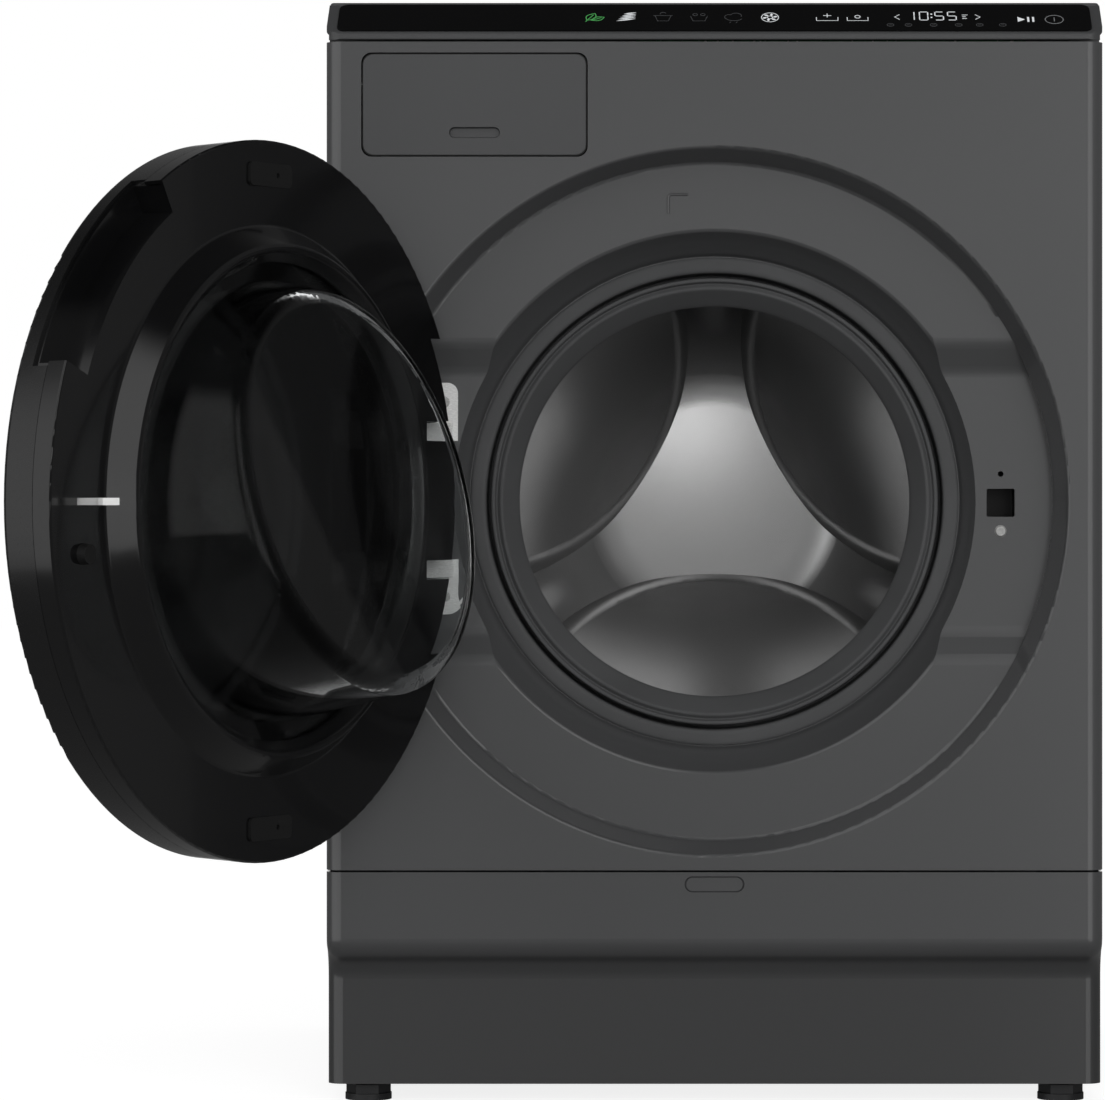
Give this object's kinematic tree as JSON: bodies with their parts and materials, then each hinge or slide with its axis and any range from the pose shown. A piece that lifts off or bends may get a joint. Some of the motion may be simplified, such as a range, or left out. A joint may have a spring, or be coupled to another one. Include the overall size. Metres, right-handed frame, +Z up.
{
  "type": "front load washing machine",
  "caption": "Free-standing front load washing machine with an open round glass door, sloped touch panel, detergent drawer, kick panel and a sprung tub with a belt-driven drum.",
  "frame": {"origin": "on the floor, midway between the four levelling feet", "axes": "+X to the right of someone facing the door, +Y to the back, +Z up"},
  "size_m": [0.7836, 1.0523, 0.852],
  "materials": {
    "panel_paint": "satin",
    "side_paint": "satin",
    "fascia_plastic": "satin",
    "drawer_plastic": "satin",
    "plinth_plastic": "satin",
    "worktop": "satin",
    "touch_glass": "gloss",
    "circuit_board": "matte",
    "zinc_sheet": "satin",
    "base_plastic": "matte",
    "foot_plastic": "matte",
    "tray_plastic": "satin",
    "housing_plastic": "satin",
    "door_black": "gloss",
    "door_edge": "gloss",
    "door_smoke": "gloss",
    "clear_glass": "gloss",
    "buffer_rubber": "matte",
    "seal_rubber": "satin",
    "hinge_metal": "satin",
    "leaf_metal": "satin",
    "hook_metal": "polished",
    "lock_plastic": "matte",
    "screw_metal": "satin",
    "plug_plastic": "matte",
    "drum_steel": "satin",
    "lifter_plastic": "satin",
    "spider_alloy": "matte",
    "shaft_steel": "polished",
    "oil_seal": "matte",
    "tub_plastic": "matte",
    "bolt_steel": "satin",
    "concrete": "matte",
    "heater_steel": "satin",
    "motor_alloy": "matte",
    "motor_steel": "satin",
    "belt_rubber": "matte",
    "spring_steel": "satin",
    "damper_plastic": "matte",
    "rod_steel": "polished",
    "hose_rubber": "matte",
    "drain_rubber": "matte",
    "pump_plastic": "matte",
    "cap_plastic": "satin",
    "outlet_plastic": "matte",
    "valve_plastic": "satin"
  },
  "bodies": {
    "cabinet": {"base_pan": "base_plastic", "left_side_panel": "side_paint", "right_side_panel": "side_paint", "rear_panel": "zinc_sheet", "top_cover": "worktop", "top_braces": "zinc_sheet", "front_panel": "panel_paint", "control_fascia": "fascia_plastic", "control_glass": "touch_glass", "control_board": "circuit_board", "dispenser_housing": "housing_plastic", "inlet_valve": "valve_plastic", "fill_hose": "hose_rubber", "door_gasket": "seal_rubber", "door_lock": "lock_plastic", "hinge_bracket": "hinge_metal", "screws": "screw_metal", "drain_pump": "pump_plastic", "drain_hose": "drain_rubber", "drain_outlet": "outlet_plastic", "damper_cylinders": "damper_plastic", "suspension_springs": "spring_steel", "sump_hose": "hose_rubber", "transit_plugs": "plug_plastic"},
    "tub": {"tub_front": "tub_plastic", "tub_rear": "tub_plastic", "tub_bolts": "bolt_steel", "counterweights": "concrete", "drum_bearings": "shaft_steel", "shaft_seal": "oil_seal", "heater": "heater_steel", "motor_body": "motor_alloy", "drive_belt": "belt_rubber", "damper_rods": "rod_steel"},
    "drum": {"drum_shell": "drum_steel", "drum_front": "drum_steel", "drum_back": "drum_steel", "drum_lifters": "lifter_plastic", "drum_spider": "spider_alloy", "drum_shaft": "shaft_steel", "drum_pulley": "spider_alloy", "pulley_bolt": "shaft_steel"},
    "motor": {"motor_pulley": "motor_steel"},
    "drawer": {"drawer_front": "drawer_plastic", "drawer_tray": "tray_plastic"},
    "plinth": {"plinth": "plinth_plastic"},
    "filter": {"filter_cap": "cap_plastic"},
    "door": {"door_frame": "door_black", "door_rim": "door_edge", "door_cover": "door_smoke", "door_glass": "clear_glass", "door_buffers": "buffer_rubber", "hinge_leaf": "leaf_metal", "door_pins": "leaf_metal"},
    "latch": {"latch_hook": "hook_metal"},
    "front_left_foot": {"foot_front_left": "foot_plastic"},
    "rear_left_foot": {"foot_rear_left": "foot_plastic"},
    "front_right_foot": {"foot_front_right": "foot_plastic"},
    "rear_right_foot": {"foot_rear_right": "foot_plastic"}
  },
  "joints": [
    {"name": "door_hinge", "type": "hinge", "parent": "cabinet", "child": "door", "pos_m": [-0.2329, -0.298, 0.464], "axis": [0, 0, -1], "range_deg": [-119.4, 5.6]},
    {"name": "latch_pivot", "type": "hinge", "parent": "door", "child": "latch", "pos_m": [-0.44402, -0.70119, 0.464], "axis": [0, 0, 1], "range_deg": [0, 6], "stiffness_Nm_per_rad": 0.2, "springref_deg": -5.73},
    {"name": "drawer_slide", "type": "slide", "parent": "cabinet", "child": "drawer", "axis": [0, -1, 0], "range_m": [0, 0.24]},
    {"name": "tub_float", "type": "slide", "parent": "cabinet", "child": "tub", "axis": [0, 0, 1], "range_m": [-0.006, 0.006], "stiffness_N_per_m": 14000, "springref_m": 0.02453, "deforming": ["door_gasket", "suspension_springs", "sump_hose"]},
    {"name": "drum_spin", "type": "hinge", "parent": "tub", "child": "drum", "pos_m": [0, 0.2, 0.464], "axis": [0, 1, 0], "continuous": true},
    {"name": "motor_spin", "type": "hinge", "parent": "tub", "child": "motor", "pos_m": [-0.055, 0.246, 0.112], "axis": [0, 1, 0], "continuous": true},
    {"name": "filter_turn", "type": "hinge", "parent": "cabinet", "child": "filter", "pos_m": [0.12, -0.245, 0.088], "axis": [0, 1, 0], "range_deg": [0, 90]},
    {"name": "plinth_pull", "type": "slide", "parent": "cabinet", "child": "plinth", "axis": [0, -1, 0], "range_m": [0, 0.15]},
    {"name": "front_left_foot_turn", "type": "hinge", "parent": "cabinet", "child": "front_left_foot", "pos_m": [-0.269, -0.245, 0.02], "axis": [0, 0, 1], "continuous": true},
    {"name": "rear_left_foot_turn", "type": "hinge", "parent": "cabinet", "child": "rear_left_foot", "pos_m": [-0.269, 0.245, 0.02], "axis": [0, 0, 1], "continuous": true},
    {"name": "front_right_foot_turn", "type": "hinge", "parent": "cabinet", "child": "front_right_foot", "pos_m": [0.269, -0.245, 0.02], "axis": [0, 0, 1], "continuous": true},
    {"name": "rear_right_foot_turn", "type": "hinge", "parent": "cabinet", "child": "rear_right_foot", "pos_m": [0.269, 0.245, 0.02], "axis": [0, 0, 1], "continuous": true}
  ],
  "couplings": [
    {"joint": "motor_spin", "follows": "drum_spin", "ratio": 14}
  ]
}
